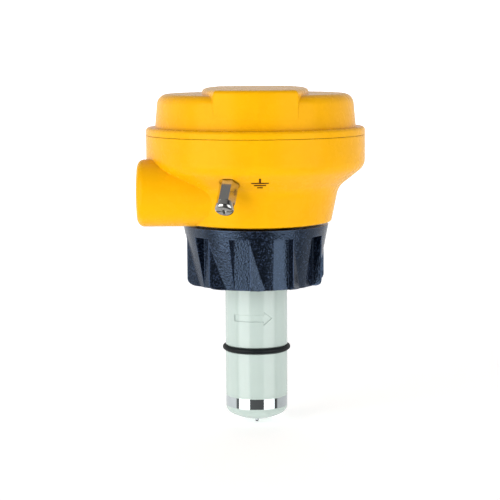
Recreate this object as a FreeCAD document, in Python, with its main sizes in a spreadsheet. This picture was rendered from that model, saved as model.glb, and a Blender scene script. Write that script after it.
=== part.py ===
import FreeCAD, Part
import math
import os

import Sketcher

# Insertion electromagnetic flow meter: round screw-lidded housing, union nut and probe with a steel ring.
# Millimetres, +Z up. The origin is on the probe axis, in the plane where the probe's collar seats on a
# pipe fitting. The front of the meter, with the earth terminal, faces -Y, its conduit entry faces -X.

doc = FreeCAD.newDocument("flow_meter")
sheet = doc.addObject("Spreadsheet::Sheet", "dims")
Z_AXIS = FreeCAD.Vector(0, 0, 1)
FULL_TURN = 360.0
parts = []


class Size:
    """A length that knows its number and the sheet formula that it comes from."""

    def __init__(self, value, formula):
        self.value = float(value)
        self.formula = formula

    @staticmethod
    def of(other):
        return other if isinstance(other, Size) else Size(other, repr(float(other)))

    def __add__(self, other):
        other = Size.of(other)
        return Size(self.value + other.value, f"({self.formula} + {other.formula})")

    def __sub__(self, other):
        other = Size.of(other)
        return Size(self.value - other.value, f"({self.formula} - {other.formula})")

    def __mul__(self, other):
        other = Size.of(other)
        return Size(self.value * other.value, f"({self.formula} * {other.formula})")

    def __truediv__(self, other):
        other = Size.of(other)
        return Size(self.value / other.value, f"({self.formula} / {other.formula})")

    def __radd__(self, other):
        return Size.of(other) + self

    def __rsub__(self, other):
        return Size.of(other) - self

    def __rmul__(self, other):
        return Size.of(other) * self

    def __neg__(self):
        return Size.of(0) - self


def dim(name, value):
    """Writes one driving dimension into the next row of the sheet and returns it."""
    dim.row += 1
    cell = f"B{dim.row}"
    sheet.set(f"A{dim.row}", name)
    sheet.set(cell, str(value))
    sheet.setAlias(cell, name)
    return Size(value, f"dims.{name}")


dim.row = 0

# Probe: tube, collar and the spigot that carries the housing
probe_radius = dim("probe_radius", 13.35)
probe_bore = dim("probe_bore", 10.2)
probe_end = dim("probe_end", -64.8)
arrow_height = dim("arrow_height", -30.8)
arrow_depth = dim("arrow_depth", 0.3)
arrow_tail = dim("arrow_tail", -9.3)
arrow_neck = dim("arrow_neck", 3.0)
arrow_tip = dim("arrow_tip", 6.5)
arrow_shaft = dim("arrow_shaft", 1.4)
arrow_head = dim("arrow_head", 2.9)
collar_radius = dim("collar_radius", 18.0)
collar_top = dim("collar_top", 4.1)
spigot_radius = dim("spigot_radius", 14.92)
spigot_thread_radius = dim("spigot_thread_radius", 12.0)
spigot_top = dim("spigot_top", 20.0)
shoulder_gap = dim("shoulder_gap", 0.15)
o_ring_height = dim("o_ring_height", -44.8)
o_ring_section = dim("o_ring_section", 1.12)
o_ring_groove_radius = dim("o_ring_groove_radius", 12.38)
o_ring_groove_width = dim("o_ring_groove_width", 2.8)

# Probe tip: steel ring, end plug and its two electrodes
tip_radius = dim("tip_radius", 13.3)
dome_start = dim("dome_start", -70.2)
dome_depth = dim("dome_depth", 6.1)
ring_top = dim("ring_top", -65.7)
tip_corner = dim("tip_corner", 3.6)
ring_bottom = dim("ring_bottom", -70.1)
ring_inner_radius = dim("ring_inner_radius", 12.0)
plug_top = dim("plug_top", -58.0)
slip_gap = dim("slip_gap", 0.05)
electrode_offset = dim("electrode_offset", 5.0)
electrode_radius = dim("electrode_radius", 0.9)
electrode_bottom = dim("electrode_bottom", -76.9)
electrode_tag_width = dim("electrode_tag_width", 1.8)
electrode_tag_height = dim("electrode_tag_height", 0.8)
electrode_tag_overhang = dim("electrode_tag_overhang", 1.4)
electrode_seal_section = dim("electrode_seal_section", 0.55)
electrode_seal_pocket = dim("electrode_seal_pocket", 2.4)

# Field coil and the leads inside the probe
core_radius = dim("core_radius", 2.6)
coil_bottom = dim("coil_bottom", -54.5)
coil_top = dim("coil_top", -24.0)
bobbin_wall = dim("bobbin_wall", 0.9)
bobbin_flange_radius = dim("bobbin_flange_radius", 6.8)
winding_radius = dim("winding_radius", 6.4)
lead_radius = dim("lead_radius", 0.6)
electrode_lead_offset = dim("electrode_lead_offset", 8.3)
coil_lead_offset = dim("coil_lead_offset", 4.5)

# Housing: neck, sloping shoulder, round wall and conduit boss
housing_bottom = dim("housing_bottom", 8.8)
housing_floor = dim("housing_floor", 12.5)
neck_bottom_radius = dim("neck_bottom_radius", 27.0)
neck_foot_radius = dim("neck_foot_radius", 32.4)
neck_foot = dim("neck_foot", 10.0)
neck_top_radius = dim("neck_top_radius", 35.4)
neck_top = dim("neck_top", 24.6)
neck_blend = dim("neck_blend", 8.0)
wall_radius = dim("wall_radius", 46.65)
wall_bottom = dim("wall_bottom", 33.6)
shoulder_blend = dim("shoulder_blend", 6.0)
rim_top = dim("rim_top", 46.8)
foot_blend = dim("foot_blend", 0.8)
neck_inner_radius = dim("neck_inner_radius", 30.0)
neck_inner_top_radius = dim("neck_inner_top_radius", 32.2)
neck_inner_top = dim("neck_inner_top", 25.8)
wall_inner_radius = dim("wall_inner_radius", 43.3)
wall_inner_bottom = dim("wall_inner_bottom", 34.3)
boss_radius = dim("boss_radius", 14.1)
boss_height = dim("boss_height", 23.3)
boss_offset = dim("boss_offset", -15.5)
boss_end = dim("boss_end", -49.6)
boss_blend = dim("boss_blend", 3.0)
boss_root = dim("boss_root", -9.0)
conduit_thread_radius = dim("conduit_thread_radius", 9.25)
conduit_thread_depth = dim("conduit_thread_depth", 11.5)
conduit_bore_radius = dim("conduit_bore_radius", 8.0)

# Board posts, board and what stands on it
post_circle = dim("post_circle", 37.0)
post_radius = dim("post_radius", 3.5)
post_bottom = dim("post_bottom", 30.2)
post_count = dim("post_count", 3)
board_bottom = dim("board_bottom", 36.5)
board_radius = dim("board_radius", 41.0)
board_thickness = dim("board_thickness", 1.6)
board_chord = dim("board_chord", -29.5)
board_screw_radius = dim("board_screw_radius", 1.25)
board_screw_length = dim("board_screw_length", 6.0)
board_screw_head_radius = dim("board_screw_head_radius", 2.7)
board_screw_head_height = dim("board_screw_head_height", 2.0)
screw_slot_width = dim("screw_slot_width", 0.7)
screw_slot_depth = dim("screw_slot_depth", 0.9)
terminal_pitch = dim("terminal_pitch", 5.08)
terminal_depth = dim("terminal_depth", 12.0)
terminal_height = dim("terminal_height", 10.0)
terminal_front = dim("terminal_front", -26.0)
terminal_step = dim("terminal_step", 3.4)
terminal_window = dim("terminal_window", 3.6)
terminal_screw_radius = dim("terminal_screw_radius", 1.6)
capacitor_radius = dim("capacitor_radius", 4.0)
capacitor_height = dim("capacitor_height", 9.0)
capacitor_x = dim("capacitor_x", 3.0)
capacitor_y = dim("capacitor_y", 23.0)
capacitor_pitch = dim("capacitor_pitch", 10.0)
chip_height = dim("chip_height", 1.7)
main_chip_x = dim("main_chip_x", -2.0)
main_chip_side = dim("main_chip_side", 12.0)
small_chip_x = dim("small_chip_x", 16.0)
small_chip_length = dim("small_chip_length", 8.0)
small_chip_width = dim("small_chip_width", 5.0)
small_chip_pitch = dim("small_chip_pitch", 9.0)
connector_length = dim("connector_length", 20.0)
connector_width = dim("connector_width", 6.0)
connector_height = dim("connector_height", 5.0)

# Nut that clamps the probe inside the housing, and the seal under the floor
lock_nut_corner = dim("lock_nut_corner", 18.5)
lock_nut_height = dim("lock_nut_height", 5.0)
neck_seal_section = dim("neck_seal_section", 0.9)
neck_seal_radius = dim("neck_seal_radius", 13.4)
neck_seal_depth = dim("neck_seal_depth", 1.75)

# Screw lid with its raised grip band, and the flat seal in its flange
lid_gap = dim("lid_gap", 0.15)
flange_thickness = dim("flange_thickness", 3.25)
flange_blend = dim("flange_blend", 1.5)
dome_base_radius = dim("dome_base_radius", 42.75)
dome_top_radius = dim("dome_top_radius", 41.45)
dome_top = dim("dome_top", 64.2)
dome_blend = dim("dome_blend", 4.5)
band_top = dim("band_top", 66.5)
band_end_width = dim("band_end_width", 34.2)
band_end = dim("band_end", 42.0)
band_middle_width = dim("band_middle_width", 47.4)
band_face_radius = dim("band_face_radius", 42.35)
band_blend = dim("band_blend", 1.8)
lid_thread_radius = dim("lid_thread_radius", 42.9)
lid_bottom = dim("lid_bottom", 40.5)
lid_bore = dim("lid_bore", 40.5)
lid_wall_top = dim("lid_wall_top", 57.5)
lid_ceiling = dim("lid_ceiling", 61.0)
lid_ceiling_radius = dim("lid_ceiling_radius", 37.5)
lid_groove_inner = dim("lid_groove_inner", 44.1)
lid_groove_outer = dim("lid_groove_outer", 45.9)
lid_groove_depth = dim("lid_groove_depth", 1.0)
lid_seal_slack = dim("lid_seal_slack", 0.1)

# Union nut with sawtooth grip fins
nut_top = dim("nut_top", 8.5)
nut_bottom = dim("nut_bottom", -17.0)
nut_top_radius = dim("nut_top_radius", 31.1)
nut_bottom_radius = dim("nut_bottom_radius", 26.2)
nut_thread_radius = dim("nut_thread_radius", 19.5)
nut_shoulder = dim("nut_shoulder", 4.4)
nut_hole_radius = dim("nut_hole_radius", 15.0)
nut_mouth_chamfer = dim("nut_mouth_chamfer", 1.2)
ledge_height = dim("ledge_height", 4.6)
fin_radius = dim("fin_radius", 30.15)
fin_root_radius = dim("fin_root_radius", 24.5)
fin_run = dim("fin_run", 7.3)
fin_top = dim("fin_top", 5.4)
fin_corner = dim("fin_corner", 3.0)
fin_count = dim("fin_count", 10)
nut_turn = dim("nut_turn", -95.2)
pocket_angle = dim("pocket_angle", 15.5)
pocket_flare = dim("pocket_flare", 2.0)
pocket_reach = dim("pocket_reach", 34.0)

# Earth terminal: hexagonal post, washer, screw and the nut inside the wall
ground_circle = dim("ground_circle", 40.4)
ground_bearing = dim("ground_bearing", -15.5)
ground_post_corner = dim("ground_post_corner", 4.04)
ground_post_length = dim("ground_post_length", 9.5)
ground_post_inset = dim("ground_post_inset", 0.4)
ground_pocket_radius = dim("ground_pocket_radius", 4.15)
ground_stud_radius = dim("ground_stud_radius", 2.0)
ground_stud_length = dim("ground_stud_length", 6.2)
ground_bore_depth = dim("ground_bore_depth", 7.5)
ground_nut_corner = dim("ground_nut_corner", 4.0)
ground_nut_height = dim("ground_nut_height", 2.4)
ground_nut_seat = dim("ground_nut_seat", -2.75)
ground_washer_radius = dim("ground_washer_radius", 3.6)
ground_washer_thickness = dim("ground_washer_thickness", 1.6)
ground_washer_split = dim("ground_washer_split", 0.8)
ground_head_radius = dim("ground_head_radius", 4.0)
ground_head_height = dim("ground_head_height", 2.0)
ground_head_blend = dim("ground_head_blend", 1.4)
ground_screw_length = dim("ground_screw_length", 6.4)
ground_slot_width = dim("ground_slot_width", 1.1)
ground_slot_depth = dim("ground_slot_depth", 1.0)
doc.recompute()


def bind(item, name, size):
    """Ties one property to the sheet."""
    item.setExpression(name, Size.of(size).formula)


def new_body(name):
    """Starts one sub-part as a body and lists it among the parts to write."""
    body = doc.addObject("PartDesign::Body", name)
    body.Label = name
    parts.append(body)
    return body


def plane_of(body, role):
    """Returns one of a body's own origin planes or axes."""
    return next(item for item in body.Origin.OriginFeatures if item.Role == role)


def arc_between(start, end, radius):
    """Returns the arc of a given radius between two points; a negative radius bends it the other way."""
    chord = end - start
    middle = (start + end) / 2
    normal = FreeCAD.Vector(-chord.y, chord.x, 0).normalize()
    rise = math.sqrt(radius ** 2 - (chord.Length / 2) ** 2)
    centre = middle + normal * math.copysign(rise, radius)
    circle = Part.Circle(centre, Z_AXIS, abs(radius))
    first, last = (start, end) if radius > 0 else (end, start)
    return Part.ArcOfCircle(circle, circle.parameter(first), circle.parameter(last))


def pin_point(sketch, geometry, position, x, y):
    """Fixes one end of a sketch line at a place given by the sheet."""
    for axis_line, kind, size in ((-2, "DistanceX", Size.of(x)), (-1, "DistanceY", Size.of(y))):
        if size.value == 0:
            sketch.addConstraint(Sketcher.Constraint("PointOnObject", geometry, position, axis_line))
        else:
            row = sketch.addConstraint(Sketcher.Constraint(kind, -1, 1, geometry, position, size.value))
            sketch.setExpression(f"Constraints[{row}]", size.formula)


def new_sketch(body, name, role, offset=0):
    """Adds an empty sketch on one of the body's origin planes, or parallel to it."""
    sketch = body.newObject("Sketcher::SketchObject", name)
    sketch.AttachmentSupport = [(plane_of(body, role), "")]
    sketch.MapMode = "FlatFace"
    bind(sketch, "AttachmentOffset.Base.z", offset)
    return sketch


def profile(body, name, role, corners, offset=0):
    """Draws a closed profile; a corner's third value is the radius of the arc that leaves it."""
    sketch = new_sketch(body, name, role, offset)
    points = [FreeCAD.Vector(Size.of(c[0]).value, Size.of(c[1]).value, 0) for c in corners]
    ends = []
    for row, corner in enumerate(corners):
        start = points[row]
        end = points[(row + 1) % len(points)]
        if len(corner) == 2:
            sketch.addGeometry(Part.LineSegment(start, end))
            ends.append((1, 2))
            continue
        radius = Size.of(corner[2])
        sketch.addGeometry(arc_between(start, end, radius.value))
        ends.append((1, 2) if radius.value > 0 else (2, 1))
    for row, corner in enumerate(corners):
        sketch.addConstraint(Sketcher.Constraint("Coincident", row - 1 if row else len(corners) - 1,
                                                 ends[row - 1][1], row, ends[row][0]))
        pin_point(sketch, row, ends[row][0], corner[0], corner[1])
    for row, corner in enumerate(corners):
        if len(corner) == 3:
            radius = Size.of(corner[2])
            line = sketch.addConstraint(Sketcher.Constraint("Radius", row, abs(radius.value)))
            sketch.setExpression(f"Constraints[{line}]", f"abs({radius.formula})")
    return sketch


def circles(body, name, role, places, radius, offset=0):
    """Draws circles of one radius at the given places."""
    sketch = new_sketch(body, name, role, offset)
    for row, (x, y) in enumerate(places):
        centre = FreeCAD.Vector(Size.of(x).value, Size.of(y).value, 0)
        sketch.addGeometry(Part.Circle(centre, Z_AXIS, Size.of(radius).value))
        pin_point(sketch, row, 3, x, y)
        line = sketch.addConstraint(Sketcher.Constraint("Radius", row, Size.of(radius).value))
        sketch.setExpression(f"Constraints[{line}]", Size.of(radius).formula)
    return sketch


def turned(body, sketch, kind="Revolution"):
    """Turns a profile about the body's Z axis, as added or removed material."""
    feature = body.newObject(f"PartDesign::{kind}", f"{sketch.Name}_{kind}")
    feature.Profile = sketch
    feature.Refine = False
    feature.ReferenceAxis = (sketch, ["V_Axis"])
    feature.Angle = FULL_TURN
    doc.recompute()
    return feature


def raised(body, sketch, length, kind="Pad", backwards=False):
    """Extrudes a profile along its normal, or a pocket against it."""
    before = body.Tip.Shape.Volume if kind == "Pocket" else math.inf
    feature = body.newObject(f"PartDesign::{kind}", f"{sketch.Name}_{kind}")
    feature.Profile = sketch
    feature.Refine = False
    feature.Reversed = backwards
    bind(feature, "Length", length)
    doc.recompute()
    if feature.Shape.Volume >= before:
        raise RuntimeError(f"{sketch.Name} removes nothing")
    return feature


def rounded(body, radius, chosen):
    """Rounds the edges of the body's tip that a test picks."""
    base = body.Tip
    names = [f"Edge{i + 1}" for i, edge in enumerate(base.Shape.Edges) if chosen(edge)]
    if not names:
        raise RuntimeError(f"no edge to round on {body.Label}")
    feature = body.newObject("PartDesign::Fillet", f"{body.Name}_rounding_{len(body.Group)}")
    feature.Base = (base, names)
    feature.Refine = False
    bind(feature, "Radius", radius)
    doc.recompute()
    return feature


def ring_at(radius, height, slack=0.05):
    """Returns a test for round edges about Z of one radius at one height."""
    def chosen(edge):
        curve = edge.Curve
        return (isinstance(curve, Part.Circle) and abs(curve.Radius - Size.of(radius).value) < slack
                and abs(curve.Center.z - Size.of(height).value) < slack)
    return chosen


def hexagon(corner):
    """Returns the corners of a hexagon from its corner radius."""
    return [(corner * math.cos(math.radians(60 * i)), corner * math.sin(math.radians(60 * i)))
            for i in range(6)]


def rectangle(x_low, x_high, y_low, y_high):
    """Returns the corners of a rectangle."""
    return [(x_low, y_low), (x_high, y_low), (x_high, y_high), (x_low, y_high)]


def primitive(kind, name, place, **sizes):
    """Adds a simple solid whose sizes come from the sheet."""
    item = doc.addObject(f"Part::{kind}", name)
    for key, size in sizes.items():
        bind(item, key, size)
    for axis, distance in zip("xyz", place):
        bind(item, f"Placement.Base.{axis}", distance)
    return item


def group(name, members):
    """Gathers separate solids of one kind into one sub-part."""
    item = doc.addObject("Part::Compound", name)
    item.Label = name
    item.Links = members
    parts.append(item)
    return item


def ring_part(name, radius, section, height):
    """Makes a round seal about the probe axis."""
    ring = primitive("Torus", name, (0, 0, height), Radius1=radius, Radius2=section)
    ring.Label = name
    parts.append(ring)
    return ring


def make_probe():
    """Makes the moulded probe tube with its engraved flow arrow and the seal in its groove."""
    body = new_body("probe_body")
    groove_low = o_ring_height - o_ring_groove_width / 2
    groove_high = o_ring_height + o_ring_groove_width / 2
    turned(body, profile(body, "probe_section", "XZ_Plane", [
        (probe_bore, probe_end), (probe_radius, probe_end), (probe_radius, groove_low),
        (o_ring_groove_radius, groove_low), (o_ring_groove_radius, groove_high),
        (probe_radius, groove_high), (probe_radius, 0), (collar_radius, 0), (collar_radius, collar_top),
        (spigot_radius, collar_top), (spigot_radius, housing_bottom - shoulder_gap),
        (spigot_thread_radius, housing_bottom - shoulder_gap), (spigot_thread_radius, spigot_top),
        (probe_bore, spigot_top)]))
    raised(body, profile(body, "arrow_outline", "XZ_Plane", [
        (arrow_tail, arrow_height - arrow_shaft), (arrow_neck, arrow_height - arrow_shaft),
        (arrow_neck, arrow_height - arrow_head), (arrow_tip, arrow_height),
        (arrow_neck, arrow_height + arrow_head), (arrow_neck, arrow_height + arrow_shaft),
        (arrow_tail, arrow_height + arrow_shaft)], probe_radius + 1), probe_radius, "Pocket")
    turned(body, profile(body, "arrow_floor", "XZ_Plane", rectangle(
        probe_bore, probe_radius - arrow_depth,
        arrow_height - arrow_head - 1, arrow_height + arrow_head + 1)))
    ring_part("probe_o_ring", o_ring_groove_radius + o_ring_section, o_ring_section, o_ring_height)


def make_tip():
    """Makes the domed end plug and the steel ring let into it."""
    ring = new_body("ground_ring")
    turned(ring, profile(ring, "ring_section", "XZ_Plane", rectangle(
        ring_inner_radius, tip_radius, ring_bottom, ring_top)))

    tip = new_body("probe_tip")
    plug_radius = probe_bore - slip_gap
    corner_x = tip_radius - tip_corner
    crown = (corner_x * corner_x + dome_depth * dome_depth - tip_corner * tip_corner) / (
        (dome_depth - tip_corner) * 2)
    reach = crown / (crown - tip_corner)
    meeting_z = dome_start - dome_depth + crown - (crown - dome_depth) * reach
    turned(tip, profile(tip, "tip_section", "XZ_Plane", [
        (0, dome_start - dome_depth, crown), (corner_x * reach, meeting_z, tip_corner),
        (tip_radius, dome_start), (tip_radius, ring_bottom), (ring_inner_radius, ring_bottom),
        (ring_inner_radius, ring_top), (tip_radius, ring_top), (tip_radius, probe_end),
        (plug_radius, probe_end), (plug_radius, plug_top), (0, plug_top)]))
    places = [(0, electrode_offset), (0, -electrode_offset)]
    depth = plug_top - dome_start + dome_depth + 1
    raised(tip, circles(tip, "electrode_holes", "XY_Plane", places, electrode_radius + slip_gap, plug_top),
           depth, "Pocket")
    seal_room = electrode_seal_section * 2 + slip_gap * 2
    raised(tip, circles(tip, "seal_pockets", "XY_Plane", places, electrode_seal_pocket, plug_top),
           seal_room, "Pocket")


def make_electrodes():
    """Makes both electrodes with the tags on top of them, their seals and their leads."""
    seals = []
    leads = []
    tag_top = plug_top + slip_gap + electrode_tag_height
    seal_height = plug_top - electrode_seal_section - slip_gap
    for name, side in (("electrode_front", -1), ("electrode_rear", 1)):
        body = new_body(name)
        turned(body, profile(body, f"{name}_section", "XZ_Plane", [
            (0, electrode_bottom, electrode_radius), (electrode_radius, electrode_bottom + electrode_radius),
            (electrode_radius, tag_top), (0, tag_top)]))
        inner = electrode_radius * -side
        outer = (electrode_lead_offset - electrode_offset + electrode_tag_overhang) * side
        low, high = (outer, inner) if side < 0 else (inner, outer)
        half_width = electrode_tag_width / 2
        raised(body, profile(body, f"{name}_tag", "XY_Plane", rectangle(-half_width, half_width, low, high),
                             plug_top + slip_gap), electrode_tag_height)
        bind(body, "Placement.Base.y", electrode_offset * side)
        seals.append(primitive(
            "Torus", f"{name}_seal", (0, electrode_offset * side, seal_height),
            Radius1=electrode_radius + slip_gap + electrode_seal_section, Radius2=electrode_seal_section))
        leads.append(primitive(
            "Cylinder", f"{name}_lead", (0, electrode_lead_offset * side, tag_top), Radius=lead_radius,
            Height=board_bottom - connector_height - tag_top))
    group("electrode_seals", seals)
    group("electrode_leads", leads)


def make_coil():
    """Makes the field coil: iron core, bobbin, copper winding and its two leads."""
    core = primitive("Cylinder", "coil_core", (0, 0, plug_top), Radius=core_radius,
                     Height=coil_top - plug_top + 1)
    core.Label = "coil_core"
    parts.append(core)
    bobbin = new_body("coil_bobbin")
    bobbin_inner = core_radius + slip_gap
    barrel = bobbin_inner + bobbin_wall
    turned(bobbin, profile(bobbin, "bobbin_section", "XZ_Plane", [
        (bobbin_inner, coil_bottom), (bobbin_flange_radius, coil_bottom),
        (bobbin_flange_radius, coil_bottom + bobbin_wall), (barrel, coil_bottom + bobbin_wall),
        (barrel, coil_top - bobbin_wall), (bobbin_flange_radius, coil_top - bobbin_wall),
        (bobbin_flange_radius, coil_top), (bobbin_inner, coil_top)]))
    winding = new_body("coil_winding")
    turned(winding, profile(winding, "winding_section", "XZ_Plane", rectangle(
        barrel, winding_radius, coil_bottom + bobbin_wall, coil_top - bobbin_wall)))
    group("coil_leads", [
        primitive("Cylinder", f"coil_lead_{side}", (0, coil_lead_offset * side, coil_top),
                  Radius=lead_radius, Height=board_bottom - connector_height - coil_top)
        for side in (-1, 1)])


def ground_frame(along):
    """Returns the placement of a piece of the earth terminal, a distance along its post."""
    bearing = math.radians(ground_bearing.value)
    away = FreeCAD.Vector(math.sin(bearing), -math.cos(bearing), 0)
    run = wall_radius.value - neck_top_radius.value
    rise = wall_bottom.value - neck_top.value
    foot_height = neck_top.value + (ground_circle.value - neck_top_radius.value) * rise / run
    foot = away * ground_circle.value + Z_AXIS * foot_height
    outward = (away * rise - Z_AXIS * run).normalize()
    turn = FreeCAD.Rotation(Z_AXIS.cross(away), FreeCAD.Vector(), outward, "ZXY")
    return FreeCAD.Placement(foot + outward * Size.of(along).value, turn)


def post_places():
    """Returns the places of the board posts about the axis."""
    turns = [2 * math.pi * i / post_count.value for i in range(int(post_count.value))]
    return [(post_circle * round(math.cos(turn), 9), post_circle * round(math.sin(turn), 9))
            for turn in turns]


def make_housing():
    """Makes the moulded housing with its conduit boss, board posts and earth terminal seat."""
    body = new_body("housing")
    turned(body, profile(body, "housing_outside", "XZ_Plane", [
        (0, housing_bottom), (neck_bottom_radius, housing_bottom), (neck_foot_radius, neck_foot),
        (neck_top_radius, neck_top), (wall_radius, wall_bottom), (wall_radius, rim_top), (0, rim_top)]))
    rounded(body, neck_blend, ring_at(neck_top_radius, neck_top))
    rounded(body, shoulder_blend, ring_at(wall_radius, wall_bottom))
    rounded(body, foot_blend, ring_at(neck_foot_radius, neck_foot))
    conduit = [(boss_offset, boss_height)]
    raised(body, circles(body, "boss_outline", "YZ_Plane", conduit, boss_radius, boss_end),
           boss_root - boss_end)
    rounded(body, boss_blend, lambda edge: isinstance(edge.Curve, Part.Circle)
            and abs(edge.CenterOfMass.x - boss_end.value) < 0.01)
    turned(body, profile(body, "housing_inside", "XZ_Plane", [
        (0, housing_floor), (neck_inner_radius, housing_floor), (neck_inner_top_radius, neck_inner_top),
        (wall_inner_radius, wall_inner_bottom), (wall_inner_radius, rim_top + 1), (0, rim_top + 1)]),
        "Groove")
    places = post_places()
    raised(body, circles(body, "board_posts", "XY_Plane", places, post_radius, post_bottom),
           board_bottom - post_bottom)
    raised(body, circles(body, "post_holes", "XY_Plane", places, board_screw_radius, board_bottom),
           board_screw_length - board_thickness + 0.5, "Pocket")
    raised(body, circles(body, "spigot_hole", "XY_Plane", [(0, 0)], spigot_thread_radius + slip_gap,
                         housing_floor), housing_floor - housing_bottom + 1, "Pocket")
    raised(body, circles(body, "seal_counterbore", "XY_Plane", [(0, 0)],
                         neck_seal_radius + neck_seal_section + slip_gap, housing_bottom),
           neck_seal_depth, "Pocket", True)
    raised(body, circles(body, "conduit_bore", "YZ_Plane", conduit, conduit_bore_radius, boss_end),
           boss_root - boss_end, "Pocket", True)
    raised(body, circles(body, "conduit_thread", "YZ_Plane", conduit, conduit_thread_radius, boss_end),
           conduit_thread_depth, "Pocket", True)
    return body


def seat_ground_post(housing):
    """Opens the wall of the housing for the earth post and its stud."""
    nut_room = ground_nut_seat - ground_nut_height - 1
    for name, radius, low, high in (
            ("ground_pocket", ground_pocket_radius, -ground_post_inset, ground_post_length),
            ("ground_stud_hole", ground_stud_radius + slip_gap, -ground_stud_length, ground_post_length),
            ("ground_nut_face", ground_nut_corner + 0.6, nut_room, ground_nut_seat)):
        tool = doc.addObject("PartDesign::SubtractiveCylinder", name)
        housing.addObject(tool)
        tool.Refine = False
        bind(tool, "Radius", radius)
        bind(tool, "Height", high - low)
        tool.Placement = ground_frame(low)
        doc.recompute()


def make_board():
    """Makes the circuit board with its terminals, parts and screws."""
    board_top = board_bottom + board_thickness
    board = new_body("main_board")
    raised(board, circles(board, "board_outline", "XY_Plane", [(0, 0)], board_radius, board_bottom),
           board_thickness)
    cut_off = rectangle(-board_radius - 1, board_chord, -board_radius, board_radius)
    raised(board, profile(board, "cable_side", "XY_Plane", cut_off, board_top),
           board_thickness + 1, "Pocket")
    places = post_places()
    raised(board, circles(board, "board_holes", "XY_Plane", places, board_screw_radius + 0.25, board_top),
           board_thickness + 1, "Pocket")
    screws = []
    for row, (x, y) in enumerate(places):
        shank = primitive("Cylinder", f"board_shank_{row}", (x, y, board_top - board_screw_length),
                          Radius=board_screw_radius - 0.05, Height=board_screw_length + 0.5)
        head = primitive("Cylinder", f"board_head_{row}", (x, y, board_top),
                         Radius=board_screw_head_radius, Height=board_screw_head_height)
        slot_low = board_top + board_screw_head_height - screw_slot_depth
        slot = primitive("Box", f"board_slot_{row}",
                         (x - board_screw_head_radius, y - screw_slot_width / 2, slot_low),
                         Length=board_screw_head_radius * 2, Width=screw_slot_width, Height=screw_slot_depth)
        whole = doc.addObject("Part::Fuse", f"board_screw_whole_{row}")
        whole.Base, whole.Tool = shank, head
        slotted = doc.addObject("Part::Cut", f"board_screw_{row}")
        slotted.Base, slotted.Tool = whole, slot
        screws.append(slotted)
    group("board_screws", screws)
    chips = [primitive("Box", "main_chip", (main_chip_x, -main_chip_side / 2, board_top),
                       Length=main_chip_side, Width=main_chip_side, Height=chip_height)]
    for row in (-1, 0, 1):
        place = (small_chip_x, small_chip_pitch * row - small_chip_width / 2, board_top)
        chips.append(primitive("Box", f"small_chip_{row + 2}", place, Length=small_chip_length,
                               Width=small_chip_width, Height=chip_height))
    group("board_chips", chips)
    capacitors = []
    for row in range(3):
        place = (capacitor_x + capacitor_pitch * row, capacitor_y, board_top)
        capacitors.append(primitive("Cylinder", f"capacitor_{row + 1}", place, Radius=capacitor_radius,
                                    Height=capacitor_height))
    group("board_capacitors", capacitors)
    corner = (-connector_width / 2, -connector_length / 2, board_bottom - connector_height)
    connector = primitive("Box", "sensor_connector", corner, Length=connector_width,
                          Width=connector_length, Height=connector_height)
    connector.Label = "sensor_connector"
    parts.append(connector)


def make_terminals():
    """Makes the stepped row of screw terminals and its clamp screws."""
    poles = 7
    board_top = board_bottom + board_thickness
    half = terminal_pitch * poles / 2
    body = new_body("terminal_block")
    back = terminal_front + terminal_depth
    step_top = board_top + terminal_height - terminal_step
    raised(body, profile(body, "terminal_section", "XZ_Plane", [
        (terminal_front, board_top), (back, board_top), (back, board_top + terminal_height),
        (back - terminal_depth / 2, board_top + terminal_height), (terminal_front, step_top)], -half),
        half * 2)
    centres = [half * -1 + terminal_pitch * (pole + 0.5) for pole in range(poles)]
    window_low = board_top + 1.2
    for pole, centre in enumerate(centres):
        raised(body, profile(body, f"wire_window_{pole}", "YZ_Plane", rectangle(
            centre - terminal_window / 2, centre + terminal_window / 2, window_low,
            window_low + terminal_window), terminal_front), terminal_depth * 0.6, "Pocket", True)
    screw_x = back - terminal_depth / 4
    raised(body, circles(body, "screw_wells", "XY_Plane", [(screw_x, centre) for centre in centres],
                         terminal_screw_radius + 0.2, board_top + terminal_height), terminal_step, "Pocket")
    group("terminal_screws", [
        primitive("Cylinder", f"terminal_screw_{pole}",
                  (screw_x, centre, board_top + terminal_height - terminal_step),
                  Radius=terminal_screw_radius, Height=terminal_step * 0.7)
        for pole, centre in enumerate(centres)])


def make_probe_clamp():
    """Makes the nut that holds the probe in the housing's floor and the seal under that floor."""
    seal_height = housing_bottom - shoulder_gap + neck_seal_section
    ring_part("neck_seal", neck_seal_radius, neck_seal_section, seal_height)
    nut = new_body("probe_lock_nut")
    raised(nut, profile(nut, "lock_nut_outline", "XY_Plane", hexagon(lock_nut_corner), housing_floor),
           lock_nut_height)
    raised(nut, circles(nut, "lock_nut_hole", "XY_Plane", [(0, 0)], spigot_thread_radius + slip_gap,
                        housing_floor + lock_nut_height), lock_nut_height + 1, "Pocket")


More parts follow.
